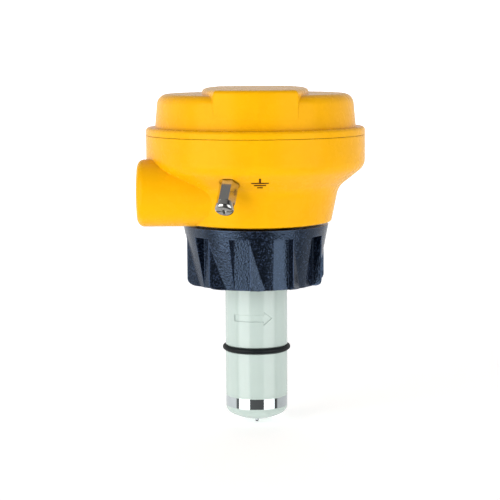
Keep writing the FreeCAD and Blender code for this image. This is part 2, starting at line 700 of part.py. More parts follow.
def make_lid():
    """Makes the screw lid: cap, flange with its seal groove, skirt and raised barrel-shaped plateau."""
    body = new_body("lid")
    flange_low = rim_top + lid_gap
    flange_high = flange_low + flange_thickness
    groove_top = flange_low + lid_groove_depth
    turned(body, profile(body, "lid_outside", "XZ_Plane", [
        (0, lid_bottom), (lid_thread_radius, lid_bottom), (lid_thread_radius, flange_low),
        (lid_groove_inner, flange_low), (lid_groove_inner, groove_top), (lid_groove_outer, groove_top),
        (lid_groove_outer, flange_low), (wall_radius, flange_low), (wall_radius, flange_high),
        (dome_base_radius, flange_high), (dome_top_radius, dome_top), (0, dome_top)]))
    rounded(body, dome_blend, ring_at(dome_top_radius, dome_top))
    rounded(body, flange_blend, ring_at(wall_radius, flange_high))
    end_x = band_end_width / 2
    end_y = math.sqrt(band_face_radius.value ** 2 - end_x.value ** 2)
    bulge = (band_middle_width - band_end_width) / 2
    side_radius = (bulge * bulge + band_end * band_end) / (bulge * 2)
    raised(body, profile(body, "band_outline", "XY_Plane", [
        (-end_x, -end_y, band_face_radius), (end_x, -end_y, side_radius),
        (end_x, end_y, band_face_radius), (-end_x, end_y, side_radius)], flange_high),
        band_top - flange_high)
    rounded(body, band_blend, lambda edge: abs(edge.BoundBox.ZMin - band_top.value) < 0.01)
    turned(body, profile(body, "lid_inside", "XZ_Plane", [
        (0, lid_bottom - 1), (lid_bore, lid_bottom - 1), (lid_bore, lid_wall_top),
        (lid_ceiling_radius, lid_ceiling), (0, lid_ceiling)]), "Groove")

    seal = new_body("lid_seal")
    turned(seal, profile(seal, "lid_seal_section", "XZ_Plane", rectangle(
        lid_groove_inner + lid_seal_slack, lid_groove_outer - lid_seal_slack, rim_top + slip_gap / 2,
        groove_top - slip_gap)))


def make_cap_nut():
    """Makes the union nut: tapered cap with sawtooth fins rising out of the taper beside flat pockets."""
    body = new_body("cap_nut")
    turned(body, profile(body, "nut_section", "XZ_Plane", [
        (nut_thread_radius + nut_mouth_chamfer, nut_bottom), (nut_bottom_radius, nut_bottom),
        (nut_top_radius, nut_top), (nut_hole_radius, nut_top), (nut_hole_radius, nut_shoulder),
        (nut_thread_radius, nut_shoulder), (nut_thread_radius, nut_bottom + nut_mouth_chamfer)]))
    fin_corners = [(fin_root_radius, 0), (fin_radius, 0), (fin_root_radius, fin_run)]
    fin = raised(body, profile(body, "fin_outline", "XY_Plane", fin_corners, nut_bottom),
                 fin_top - nut_bottom)
    floor_turn = math.radians(pocket_angle.value)
    flare_turn = math.radians((pocket_angle + pocket_flare).value)
    pocket = raised(body, profile(body, "pocket_outline", "XY_Plane", [
        (nut_bottom_radius, 0), (nut_bottom_radius * math.cos(floor_turn),
                                 nut_bottom_radius * -math.sin(floor_turn)),
        (pocket_reach * math.cos(flare_turn), pocket_reach * -math.sin(flare_turn)), (pocket_reach, 0)],
        ledge_height), ledge_height - nut_bottom + 1, "Pocket")
    fins = body.newObject("PartDesign::PolarPattern", "grip_fins")
    fins.Originals = [fin, pocket]
    fins.Axis = (plane_of(body, "Z_Axis"), [""])
    fins.Angle = FULL_TURN
    bind(fins, "Occurrences", fin_count)
    body.Tip = fins
    doc.recompute()
    corner_x = fin_radius - fin_corner
    turned(body, profile(body, "fin_rounding", "XZ_Plane", [
        (corner_x, nut_bottom, fin_corner), (fin_radius, nut_bottom + fin_corner),
        (fin_radius + 3, nut_bottom + fin_corner), (fin_radius + 3, nut_bottom - 1),
        (corner_x, nut_bottom - 1)]), "Groove")
    body.Placement.Rotation = FreeCAD.Rotation(Z_AXIS, nut_turn.value)


def make_ground_terminal():
    """Makes the hexagonal earth post, the nut behind the wall, the split washer and the screw."""
    post = new_body("ground_post")
    raised(post, profile(post, "post_outline", "XY_Plane", hexagon(ground_post_corner), -ground_post_inset),
           ground_post_length + ground_post_inset)
    raised(post, circles(post, "post_stud", "XY_Plane", [(0, 0)], ground_stud_radius, -ground_stud_length),
           ground_stud_length)
    raised(post, circles(post, "post_bore", "XY_Plane", [(0, 0)], ground_stud_radius + slip_gap,
                         ground_post_length), ground_bore_depth, "Pocket")
    post.Placement = ground_frame(0)

    nut = new_body("ground_post_nut")
    raised(nut, profile(nut, "ground_nut_outline", "XY_Plane", hexagon(ground_nut_corner)),
           ground_nut_height)
    raised(nut, circles(nut, "ground_nut_hole", "XY_Plane", [(0, 0)], ground_stud_radius + slip_gap,
                        ground_nut_height), ground_nut_height + 1, "Pocket")
    nut.Placement = ground_frame(ground_nut_seat - ground_nut_height)

    washer = new_body("ground_lock_washer")
    raised(washer, circles(washer, "washer_outline", "XY_Plane", [(0, 0)], ground_washer_radius),
           ground_washer_thickness)
    raised(washer, circles(washer, "washer_hole", "XY_Plane", [(0, 0)], ground_stud_radius + 0.15,
                           ground_washer_thickness), ground_washer_thickness + 1, "Pocket")
    raised(washer, profile(washer, "washer_split", "XY_Plane", rectangle(
        0, ground_washer_radius + 1, -ground_washer_split / 2, ground_washer_split / 2),
        ground_washer_thickness), ground_washer_thickness + 1, "Pocket")
    washer.Placement = ground_frame(ground_post_length + slip_gap)

    screw = new_body("ground_screw")
    raised(screw, circles(screw, "screw_head", "XY_Plane", [(0, 0)], ground_head_radius),
           ground_head_height)
    rounded(screw, ground_head_blend, ring_at(ground_head_radius, ground_head_height))
    raised(screw, circles(screw, "screw_shank", "XY_Plane", [(0, 0)], ground_stud_radius,
                          -ground_screw_length), ground_screw_length)
    for name, length in (("slot_long", ground_head_radius + 1), ("slot_cross", ground_head_radius * 0.5)):
        half_width = ground_slot_width / 2
        spans = (length, half_width) if name == "slot_long" else (half_width, length)
        raised(screw, profile(screw, name, "XY_Plane", rectangle(
            -spans[0], spans[0], -spans[1], spans[1]), ground_head_height), ground_slot_depth, "Pocket")
    screw.Placement = ground_frame(ground_post_length + ground_washer_thickness + slip_gap * 2)


def check_and_write():
    """Stops on any failed object, then writes each sub-part to its own file."""
    doc.recompute()
    for item in doc.Objects:
        if {"Invalid", "Error"} & set(item.State):
            raise RuntimeError(f"{item.Name} failed: {item.State}")
    for part in parts:
        if part.Shape.isNull() or not part.Shape.isValid():
            raise RuntimeError(f"{part.Label} has no valid shape")
    os.makedirs("parts", exist_ok=True)
    for part in parts:
        part.Shape.exportStep(f"parts/{part.Label}.step")
        box = part.Shape.BoundBox
        print(part.Label, len(part.Shape.Solids), round(part.Shape.Volume, 1),
              [round(v, 2) for v in (box.XMin, box.XMax, box.YMin, box.YMax, box.ZMin, box.ZMax)])


make_probe()
make_tip()
make_electrodes()
make_coil()
housing_body = make_housing()
seat_ground_post(housing_body)
make_board()
make_terminals()
make_probe_clamp()
make_lid()
make_cap_nut()
make_ground_terminal()
check_and_write()
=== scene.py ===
import logging
import math
from dataclasses import dataclass
from enum import Enum
from functools import cache
from typing import Any, Iterable, Sequence, Union

import bmesh
import bpy
from mathutils import Matrix, Vector
from mathutils.bvhtree import BVHTree


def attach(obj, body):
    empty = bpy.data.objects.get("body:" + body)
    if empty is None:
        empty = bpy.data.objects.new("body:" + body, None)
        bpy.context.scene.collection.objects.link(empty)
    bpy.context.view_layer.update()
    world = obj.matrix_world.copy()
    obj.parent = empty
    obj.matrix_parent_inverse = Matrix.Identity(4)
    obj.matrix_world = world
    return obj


# Looks of an insertion electromagnetic flow meter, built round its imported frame: +Z up, the front of the
# meter facing -Y. The meter's sizes are millimetres, the studio's are metres, angles are degrees. The CAD
# pieces keep their meshes and take procedural finishes here. Threads, the printed earth symbol and the legs
# of the main chip are added.
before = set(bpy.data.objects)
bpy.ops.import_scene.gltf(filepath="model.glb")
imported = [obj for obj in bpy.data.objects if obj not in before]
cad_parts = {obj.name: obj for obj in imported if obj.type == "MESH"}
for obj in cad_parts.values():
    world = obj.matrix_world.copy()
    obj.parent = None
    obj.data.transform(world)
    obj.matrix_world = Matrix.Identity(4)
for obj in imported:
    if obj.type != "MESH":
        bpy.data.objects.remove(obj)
log = logging.getLogger("flow_meter")
MM = 0.001
MIDDLE = 0.5
Colour = tuple[float, float, float]
Operand = Union["Value", float]


class Body(Enum):
    """The moving bodies of the frame."""

    METER = "meter"
    NUT = "nut"
    LID = "lid"


class Slot(Enum):
    """The record's material slots."""

    YELLOW = "housing_yellow"
    NUT = "nut_black"
    PROBE = "probe_plastic"
    STEEL = "steel"
    PLATED = "plated_steel"
    RUBBER = "seal_rubber"
    IRON = "coil_iron"
    BOBBIN = "bobbin_plastic"
    COPPER = "winding_copper"
    LEADS = "lead_insulation"
    LOCK_NUT = "lock_nut_plastic"
    BOARD = "board_green"
    TERMINAL = "terminal_green"
    CHIP = "chip_black"
    CAN = "capacitor_can"


class Value:
    """A node socket that can be used in sums."""

    def __init__(self, tree: "Tree", socket: bpy.types.NodeSocket) -> None:
        """Keeps an output socket and the tree that new nodes go into."""
        self.tree = tree
        self.socket = socket

    def _sum(self, operation: str, first: Operand, second: Operand) -> "Value":
        """Returns the result of a new math node."""
        return self.tree.make("ShaderNodeMath", {"operation": operation}, {0: first, 1: second})

    def __add__(self, other: Operand) -> "Value":
        """Returns self + other."""
        return self._sum("ADD", self, other)

    def __radd__(self, other: Operand) -> "Value":
        """Returns other + self."""
        return self._sum("ADD", other, self)

    def __sub__(self, other: Operand) -> "Value":
        """Returns self - other."""
        return self._sum("SUBTRACT", self, other)

    def __rsub__(self, other: Operand) -> "Value":
        """Returns other - self."""
        return self._sum("SUBTRACT", other, self)

    def __mul__(self, other: Operand) -> "Value":
        """Returns self * other."""
        return self._sum("MULTIPLY", self, other)

    def __rmul__(self, other: Operand) -> "Value":
        """Returns other * self."""
        return self._sum("MULTIPLY", other, self)

    def __pow__(self, other: Operand) -> "Value":
        """Returns self to the power of other."""
        return self._sum("POWER", self, other)

    def __rpow__(self, other: Operand) -> "Value":
        """Returns other to the power of self."""
        return self._sum("POWER", other, self)


Input = Union[Value, float, int, Sequence[float], bpy.types.ID]


class Tree:
    """A shader or geometry node tree under construction."""

    def __init__(self, tree: bpy.types.NodeTree) -> None:
        """Keeps an empty node tree."""
        self.tree = tree

    def make(self, kind: str, settings: dict[str, Any] | None = None,
             inputs: dict[Union[str, int], Input] | None = None, output: Union[str, int] = 0) -> Value:
        """Adds a node: its type, then its settings, then its socket values and links.

        Args:
            kind: the node's type name.
            settings: properties to set before the sockets.
            inputs: socket names or numbers with numbers, colours or Values.
            output: which output to return.

        Returns:
            The chosen output, or a Value without a socket for an output node.
        """
        node = self.tree.nodes.new(kind)
        for name, setting in (settings or {}).items():
            setattr(node, name, setting)
        for name, value in (inputs or {}).items():
            if isinstance(value, Value):
                self.tree.links.new(value.socket, node.inputs[name])
            else:
                node.inputs[name].default_value = value
        return Value(self, node.outputs[output] if len(node.outputs) else None)

    def step(self, value: Value, low: float, high: float) -> Value:
        """Returns a soft step, from 0 where the value is low to 1 where it is high."""
        return self.make("ShaderNodeMapRange", {"interpolation_type": "SMOOTHSTEP"},
                         {"Value": value, "From Min": low, "From Max": high})


class Shader(Tree):
    """A material's node tree with the patterns that the finishes share."""

    def place(self) -> Value:
        """Returns the place on the object, in metres."""
        return self.make("ShaderNodeTexCoord", output="Object")

    def stretched(self, scale: Sequence[float]) -> Value:
        """Returns the place on the object with each axis scaled by its factor."""
        return self.make("ShaderNodeMapping", {"vector_type": "POINT"},
                         {"Vector": self.place(), "Scale": tuple(scale)})

    def noise(self, size_mm: float, detail: float = 3.0, place: Value | None = None) -> Value:
        """Returns a soft noise between 0 and 1.

        Args:
            size_mm: the width of one patch.
            detail: how many finer layers it has.
            place: where to read it, or None for the plain object coordinates.

        Returns:
            The noise.
        """
        return self.make("ShaderNodeTexNoise", {"noise_dimensions": "3D"}, {
            "Vector": place or self.place(), "Scale": 1.0 / (size_mm * MM), "Detail": detail,
            "Roughness": 0.55})

    def blend(self, amount: Value, first: Colour, second: Colour) -> Value:
        """Returns a mix of two linear colours, all first at 0 and all second at 1."""
        return self.make("ShaderNodeMix", {"data_type": "RGBA"},
                         {0: amount, 6: (*first, 1.0), 7: (*second, 1.0)}, 2)

    def rims(self, reach_mm: float) -> Value:
        """Returns how close a place is to an outer edge, 0 on flat faces.

        Args:
            reach_mm: how far from the edge it starts.

        Returns:
            The closeness.
        """
        inside = self.make("ShaderNodeAmbientOcclusion", {"inside": True, "only_local": True, "samples": 8},
                           {"Distance": reach_mm * MM}, "AO")
        return 1.0 - inside

    def bump(self, height: Value, depth_mm: float, strength: float, edge_mm: float = 0.0) -> Value:
        """Turns a height into a bent normal, over edges that look broken.

        Args:
            height: 0 to 1.
            depth_mm: how deep 1 is.
            strength: how much of it shows.
            edge_mm: the radius that sharp edges seem to have.

        Returns:
            The normal.
        """
        inputs = {"Height": height, "Distance": depth_mm * MM, "Strength": strength}
        if edge_mm:
            inputs["Normal"] = self.make("ShaderNodeBevel", {"samples": 6}, {"Radius": edge_mm * MM})
        return self.make("ShaderNodeBump", {}, inputs)


@dataclass(frozen=True)
class Finish:
    """One material: a name, a colour and how rough it is."""

    name: str
    colour: Colour
    roughness: float

    def shaded(self, factor: float) -> Colour:
        """Returns the colour made darker by a factor below 1 or lighter by one above it."""
        return tuple(min(1.0, channel * factor) for channel in self.colour)

    def constants(self) -> dict[str, Any]:
        """Returns the shader values that don't vary, by socket name."""
        return {}

    def pattern(self, shader: Shader) -> dict[str, Input]:
        """Returns the shader values that vary over the surface, by socket name."""
        raise NotImplementedError

    @cache
    def material(self) -> bpy.types.Material:
        """Makes the material the first time it is asked for.

        Returns:
            The material.
        """
        made = bpy.data.materials.new(self.name)
        made.use_nodes = True
        made.node_tree.nodes.clear()
        shader = Shader(made.node_tree)
        surface = shader.make("ShaderNodeBsdfPrincipled", {}, {**self.constants(), **self.pattern(shader)})
        shader.make("ShaderNodeOutputMaterial", {}, {"Surface": surface})
        log.info("finish %s", self.name)
        return made


@dataclass(frozen=True)
class Moulded(Finish):
    """Moulded plastic with a satin skin, faint flow marks and a fine grain."""

    patch_mm: float = 9.0
    shift: float = 0.06
    gloss_share: float = 0.4
    gloss_spread: float = 0.16
    grain_mm: float = 0.35
    grain_depth_mm: float = 0.02
    grain_strength: float = 0.25
    specular: float = 0.5
    edge_mm: float = 0.0
    sheen: Colour = (1.0, 1.0, 1.0)

    def constants(self) -> dict[str, Any]:
        """Returns the plastic's fixed values."""
        return {"IOR": 1.49, "Specular IOR Level": self.specular, "Specular Tint": (*self.sheen, 1.0)}

    def pattern(self, shader: Shader) -> dict[str, Input]:
        """Builds colour patches, uneven gloss and grain.

        Args:
            shader: the tree to build in.

        Returns:
            Socket names with Values.
        """
        patches = shader.noise(self.patch_mm)
        grain = shader.noise(self.grain_mm, detail=2.0)
        gloss = shader.noise(self.patch_mm * self.gloss_share, detail=4.0)
        return {
            "Base Color": shader.blend(patches, self.shaded(1 - self.shift), self.shaded(1 + self.shift)),
            "Roughness": self.roughness + (gloss - MIDDLE) * self.gloss_spread,
            "Normal": shader.bump(grain, self.grain_depth_mm, self.grain_strength, self.edge_mm)}


@dataclass(frozen=True)
class Backdrop(Moulded):
    """Pale backdrop paper with a painted glow: it emits a little light, lighting the meter from below and
    fading its shadow.
    """

    glow: float = 0.42

    def constants(self) -> dict[str, Any]:
        """Returns the paper's fixed values."""
        # The emission is painted light: the paper glows like a faint lamp.
        return {**super().constants(), "Emission Color": (1.0, 1.0, 1.0, 1.0), "Emission Strength": self.glow}


@dataclass(frozen=True)
class Eroded(Finish):
    """Moulded plastic with the pebbled skin of a spark-eroded mould, speckled with painted glints and painted
    edge highlights.
    """

    pebble_mm: float = 0.5
    pebble_depth_mm: float = 0.05
    pebble_strength: float = 0.7
    pebble_smoothness: float = 0.6
    glint_share: float = 1.3
    glint_from: float = 0.48
    glint_gain: float = 5.0
    glint_tone: float = 2.0
    shadow: float = 0.7
    rim_highlight_mm: float = 0.6
    rim_highlight_gain: float = 1.2
    wear_mm: float = 7.0
    wear_spread: float = 0.2
    specular: float = 0.65
    edge_mm: float = 0.0
    sheen: Colour = (0.46, 0.66, 1.0)

    def constants(self) -> dict[str, Any]:
        """Returns the plastic's fixed values."""
        return {"IOR": 1.5, "Specular IOR Level": self.specular, "Specular Tint": (*self.sheen, 1.0)}

    def pattern(self, shader: Shader) -> dict[str, Input]:
        """Builds pebbles, painted glints on them in worn patches, painted highlights along the outer rims,
        and worn patches of gloss.

        Args:
            shader: the tree to build in.

        Returns:
            Socket names with Values.
        """
        pebbles = shader.make("ShaderNodeTexVoronoi", {"feature": "SMOOTH_F1"}, {
            "Vector": shader.place(), "Scale": 1.0 / (self.pebble_mm * MM),
            "Smoothness": self.pebble_smoothness})
        glint_noise = shader.noise(self.pebble_mm * self.glint_share, detail=1.0)
        wear = shader.noise(self.wear_mm, detail=4.0)
        # Painted highlights: pale glints on the pebbles, in worn patches, and pale lines along the outer
        # edges, mixed into the base colour.
        painted_shine = (glint_noise - self.glint_from) * self.glint_gain * wear + shader.rims(self.rim_highlight_mm) * self.rim_highlight_gain
        return {
            "Base Color": shader.blend(painted_shine, self.shaded(self.shadow), self.shaded(self.glint_tone)),
            "Roughness": self.roughness + (wear - MIDDLE) * self.wear_spread,
            "Normal": shader.bump(pebbles, self.pebble_depth_mm, self.pebble_strength, self.edge_mm)}


@dataclass(frozen=True)
class Metal(Finish):
    """Turned or plated metal with fine lines along one direction."""

    line_stretch: tuple[float, float, float] = (1.0, 1.0, 14.0)
    line_mm: float = 3.0
    line_depth_mm: float = 0.004
    line_strength: float = 0.12
    spread: float = 0.12
    stain_mm: float = 5.0
    tarnish: float = 0.12

    def constants(self) -> dict[str, Any]:
        """Returns the metal's fixed values."""
        return {"Metallic": 1.0, "IOR": 2.5}

    def pattern(self, shader: Shader) -> dict[str, Input]:
        """Builds turning lines in the gloss and faint tarnish.

        Args:
            shader: the tree to build in.

        Returns:
            Socket names with Values.
        """
        lines = shader.noise(self.line_mm, detail=5.0, place=shader.stretched(self.line_stretch))
        stain = shader.noise(self.stain_mm)
        dull = self.shaded(1 - self.tarnish)
        bright = self.shaded(1 + self.tarnish / 2)
        return {
            "Base Color": shader.blend(stain, dull, bright),
            "Roughness": self.roughness + (lines - MIDDLE) * self.spread,
            "Normal": shader.bump(lines, self.line_depth_mm, self.line_strength)}


@dataclass(frozen=True)
class Elastomer(Finish):
    """Black rubber with a dull skin and a dusting of pale specks."""

    dust_mm: float = 1.2
    dust_power: float = 3.0
    dust_tone: float = 3.0
    dust_spread: float = 0.3
    skin_mm: float = 0.3
    skin_depth_mm: float = 0.01
    skin_strength: float = 0.3

    def constants(self) -> dict[str, Any]:
        """Returns the rubber's fixed values."""
        return {"IOR": 1.52, "Specular IOR Level": 0.22}

    def pattern(self, shader: Shader) -> dict[str, Input]:
        """Builds dust and uneven gloss.

        Args:
            shader: the tree to build in.

        Returns:
            Socket names with Values.
        """
        dust = shader.noise(self.dust_mm, detail=6.0)
        skin = shader.noise(self.skin_mm)
        return {
            "Base Color": shader.blend(dust ** self.dust_power, self.colour, self.shaded(self.dust_tone)),
            "Roughness": self.roughness + (dust - MIDDLE) * self.dust_spread,
            "Normal": shader.bump(skin, self.skin_depth_mm, self.skin_strength)}


@dataclass(frozen=True)
class Wound(Finish):
    """Enamelled wire wound in close turns about Z."""

    wire_mm: float = 0.4
    wave_share: float = 0.314
    unevenness: float = 0.4
    gap_shade_tone: float = 0.45
    crown_highlight_tone: float = 1.1
    gloss_spread: float = 0.1
    wire_depth_mm: float = 0.15
    wire_strength: float = 0.6

    def constants(self) -> dict[str, Any]:
        """Returns the wire's fixed values."""
        return {"Metallic": 0.85, "Coat Weight": 0.5}

    def pattern(self, shader: Shader) -> dict[str, Input]:
        """Builds the turns as bands along Z, with painted shade in the gaps and painted highlights on the
        crowns.

        Args:
            shader: the tree to build in.

        Returns:
            Socket names with Values.
        """
        turns = shader.make("ShaderNodeTexWave", {"bands_direction": "Z", "wave_profile": "SIN"}, {
            "Vector": shader.place(), "Scale": self.wave_share / (self.wire_mm * MM),
            "Distortion": self.unevenness}, "Fac")
        # The base colour carries painted shade in the gaps between turns and a painted highlight on each
        # crown.
        return {
            "Base Color": shader.blend(turns, self.shaded(self.gap_shade_tone), self.shaded(self.crown_highlight_tone)),
            "Roughness": self.roughness + turns * self.gloss_spread,
            "Normal": shader.bump(turns, self.wire_depth_mm, self.wire_strength)}


@dataclass(frozen=True)
class SolderMask(Finish):
    """Green board with paler copper tracks under the mask."""

    track_mm: float = 3.0
    track_tone: float = 2.2
    track_share: float = 0.7
    track_depth_mm: float = 0.03
    track_strength: float = 0.3
    weave_mm: float = 1.5
    weave_share: float = 0.2
    weave_spread: float = 0.1

    def constants(self) -> dict[str, Any]:
        """Returns the mask's fixed values."""
        return {"IOR": 1.5, "Coat Weight": 0.4, "Coat Roughness": 0.1}

    def pattern(self, shader: Shader) -> dict[str, Input]:
        """Builds tracks as the edges of a brick pattern.

        Args:
            shader: the tree to build in.

        Returns:
            Socket names with Values.
        """
        tracks = shader.make("ShaderNodeTexBrick", {"offset": 0.35}, {
            "Vector": shader.place(), "Scale": 1.0 / (self.track_mm * MM), "Mortar Size": 0.05,
            "Brick Width": 2.4, "Row Height": 0.5}, "Fac")
        weave = shader.noise(self.weave_mm, detail=2.0)
        tone = tracks * self.track_share + weave * self.weave_share
        return {
            "Base Color": shader.blend(tone, self.colour, self.shaded(self.track_tone)),
            "Roughness": self.roughness + (weave - MIDDLE) * self.weave_spread,
            "Normal": shader.bump(tracks, self.track_depth_mm, self.track_strength)}


FINISHES: dict[Slot, Finish] = {
    Slot.YELLOW: Moulded("yellow_moulding", (0.86, 0.41, 0.002), 0.27, gloss_spread=0.08, grain_mm=3.0,
                         grain_depth_mm=0.01, grain_strength=0.15, specular=0.25, edge_mm=0.5,
                         sheen=(1.0, 0.76, 0.25)),
    Slot.NUT: Eroded("black_textured", (0.0032, 0.0048, 0.009), 0.15, pebble_mm=0.6, pebble_depth_mm=0.11,
                     pebble_strength=0.7, glint_tone=10.0, shadow=0.5, specular=0.88, edge_mm=0.35),
    Slot.PROBE: Moulded("pale_probe", (0.485, 0.575, 0.535), 0.17, patch_mm=6.0, shift=0.03,
                        gloss_spread=0.06, grain_mm=0.6, grain_depth_mm=0.004, specular=0.65, edge_mm=0.3),
    Slot.STEEL: Metal("polished_steel", (0.65, 0.7, 0.72), 0.06, spread=0.05),
    Slot.PLATED: Metal("nickel_plate", (0.56, 0.55, 0.52), 0.14, line_stretch=(1.0, 1.0, 1.0), line_mm=1.0),
    Slot.RUBBER: Elastomer("dull_rubber", (0.005, 0.007, 0.008), 0.5),
    Slot.IRON: Metal("core_iron", (0.3, 0.3, 0.31), 0.45),
    Slot.BOBBIN: Moulded("bobbin_nylon", (0.72, 0.7, 0.62), 0.5),
    Slot.COPPER: Wound("copper_winding", (0.72, 0.28, 0.1), 0.3),
    Slot.LEADS: Moulded("lead_sleeve", (0.45, 0.03, 0.02), 0.45, patch_mm=3.0),
    Slot.LOCK_NUT: Moulded("lock_nut_nylon", (0.06, 0.06, 0.065), 0.5),
    Slot.BOARD: SolderMask("solder_mask", (0.01, 0.12, 0.035), 0.3),
    Slot.TERMINAL: Moulded("terminal_plastic", (0.02, 0.25, 0.06), 0.45),
    Slot.CHIP: Eroded("chip_package", (0.02, 0.02, 0.022), 0.6, pebble_mm=0.2, pebble_depth_mm=0.01),
    Slot.CAN: Metal("can_aluminium", (0.75, 0.75, 0.76), 0.28),
}
INK = Moulded("printed_ink", (0.05, 0.006, 0.002), 0.5, patch_mm=1.0, shift=0.2, specular=0.2,
              sheen=(1.0, 0.4, 0.2))
PAPER = Backdrop("pale_floor", (0.9, 0.9, 0.9), 0.7, patch_mm=300.0, shift=0.01, grain_mm=4.0)


class Growth:
    """A geometry-nodes tree with named inputs that grows one repeated form."""

    def __init__(self, name: str, inputs: dict[str, tuple[str, Any]]) -> None:
        """Starts the tree.

        Args:
            name: the tree's name.
            inputs: input names with a socket type and a default.
        """
        self.group = bpy.data.node_groups.new(name, "GeometryNodeTree")
        self.tree = Tree(self.group)
        self.keys: dict[str, str] = {}
        for label, (kind, default) in inputs.items():
            socket = self.group.interface.new_socket(label, in_out="INPUT", socket_type=kind)
            if default is not None:
                socket.default_value = default
            self.keys[label] = socket.identifier
        self.group.interface.new_socket("Geometry", in_out="OUTPUT", socket_type="NodeSocketGeometry")
        self.entry = self.group.nodes.new("NodeGroupInput")

    def take(self, label: str) -> Value:
        """Returns the value of one named input."""
        return Value(self.tree, self.entry.outputs[label])

    def end(self, geometry: Value) -> "Growth":
        """Realizes the form, gives it its material and closes the tree.

        Args:
            geometry: what has grown.

        Returns:
            The finished tree.
        """
        real = self.tree.make("GeometryNodeRealizeInstances", {}, {"Geometry": geometry})
        painted = self.tree.make("GeometryNodeSetMaterial", {}, {"Geometry": real,
                                                                 "Material": self.take("Material")})
        self.tree.make("NodeGroupOutput", {}, {"Geometry": painted})
        return self

    def grow(self, name: str, values: dict[str, Any]) -> bpy.types.Object:
        """Grows one piece and keeps it as a plain mesh.

        Args:
            name: the piece's name.
            values: what each named input gets.

        Returns:
            The piece.
        """
        holder = bpy.data.objects.new(name, bpy.data.meshes.new(f"{name}_seed"))
        bpy.context.scene.collection.objects.link(holder)
        modifier = holder.modifiers.new("growth", "NODES")
        modifier.node_group = self.group
        for label, value in values.items():
            modifier[self.keys[label]] = value
        holder.update_tag()
        evaluated = holder.evaluated_get(bpy.context.evaluated_depsgraph_get())
        mesh = bpy.data.meshes.new_from_object(evaluated)
        holder.modifiers.clear()
        holder.data = mesh
        mesh.name = name
        log.info("grew %s: %d faces", name, len(mesh.polygons))
        return holder


def thread_growth() -> Growth:
    """Makes the tree that winds a thread's ridge about Z.

    Returns:
        The tree.
    """
    growth = Growth("ThreadRidge", {
        "Radius": ("NodeSocketFloat", 0.01), "Turns": ("NodeSocketFloat", 4.0),
        "Pitch": ("NodeSocketFloat", 0.0015), "Ridge": ("NodeSocketFloat", 0.0005),
        "Low": ("NodeSocketFloat", 0.0),
        "Material": ("NodeSocketMaterial", None)})
    tree = growth.tree
    turns = growth.take("Turns")
    helix = tree.make("GeometryNodeCurveSpiral", {}, {
        "Resolution": 72, "Rotations": turns, "Start Radius": growth.take("Radius"),
        "End Radius": growth.take("Radius"), "Height": turns * growth.take("Pitch")})
    section = tree.make("GeometryNodeCurvePrimitiveCircle", {"mode": "RADIUS"},
                        {"Resolution": 6, "Radius": growth.take("Ridge")})
    ridge = tree.make("GeometryNodeCurveToMesh", {}, {
        "Curve": helix, "Profile Curve": section, "Fill Caps": True})
    lift = tree.make("ShaderNodeCombineXYZ", {}, {"Z": growth.take("Low")})
    moved = tree.make("GeometryNodeTransform", {}, {"Geometry": ridge, "Translation": lift})
    return growth.end(moved)


def leg_growth() -> Growth:
    """Makes the tree that sets a row of legs along a line.

    Returns:
        The tree.
    """
    growth = Growth("LegRow", {
        "Count": ("NodeSocketInt", 6), "Start": ("NodeSocketVector", (0.0, 0.0, 0.0)),
        "Step": ("NodeSocketVector", (0.0, 0.001, 0.0)), "Leg": ("NodeSocketVector", (0.001, 0.0005, 0.0004)),
        "Material": ("NodeSocketMaterial", None)})
    tree = growth.tree
    line = tree.make("GeometryNodeMeshLine", {"mode": "OFFSET"}, {
        "Count": growth.take("Count"), "Start Location": growth.take("Start"), "Offset": growth.take("Step")})
    leg = tree.make("GeometryNodeMeshCube", {}, {"Size": growth.take("Leg")})
    row = tree.make("GeometryNodeInstanceOnPoints", {}, {"Points": line, "Instance": leg})
    return growth.end(row)


@dataclass
class Assembly:
    """A sub-assembly: its CAD nodes with their slots, and the trees that its repeated forms grow from."""

    thread: Growth
    legs: Growth

    def nodes(self) -> dict[str, Slot]:
        """Returns the CAD nodes of the sub-assembly with their slots."""
        raise NotImplementedError

    def build(self) -> None:
        """Paints the CAD nodes."""
        for name, slot in self.nodes().items():
            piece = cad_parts[name]
            piece.data.materials.clear()
            piece.data.materials.append(FINISHES[slot].material())
            log.info("painted %s", name)

    def dress(self) -> None:
        """Adds the small forms that the CAD leaves out."""

    def add(self, piece: bpy.types.Object, body: Body, slot: Slot) -> None:
        """Lets an added piece ride on a body.

        Args:
            piece: the piece, in place.
            body: what it moves with.
            slot: the record's slot of the piece's finish; not used.
        """
        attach(piece, body.value)
        log.info("added %s to %s", piece.name, body.value)


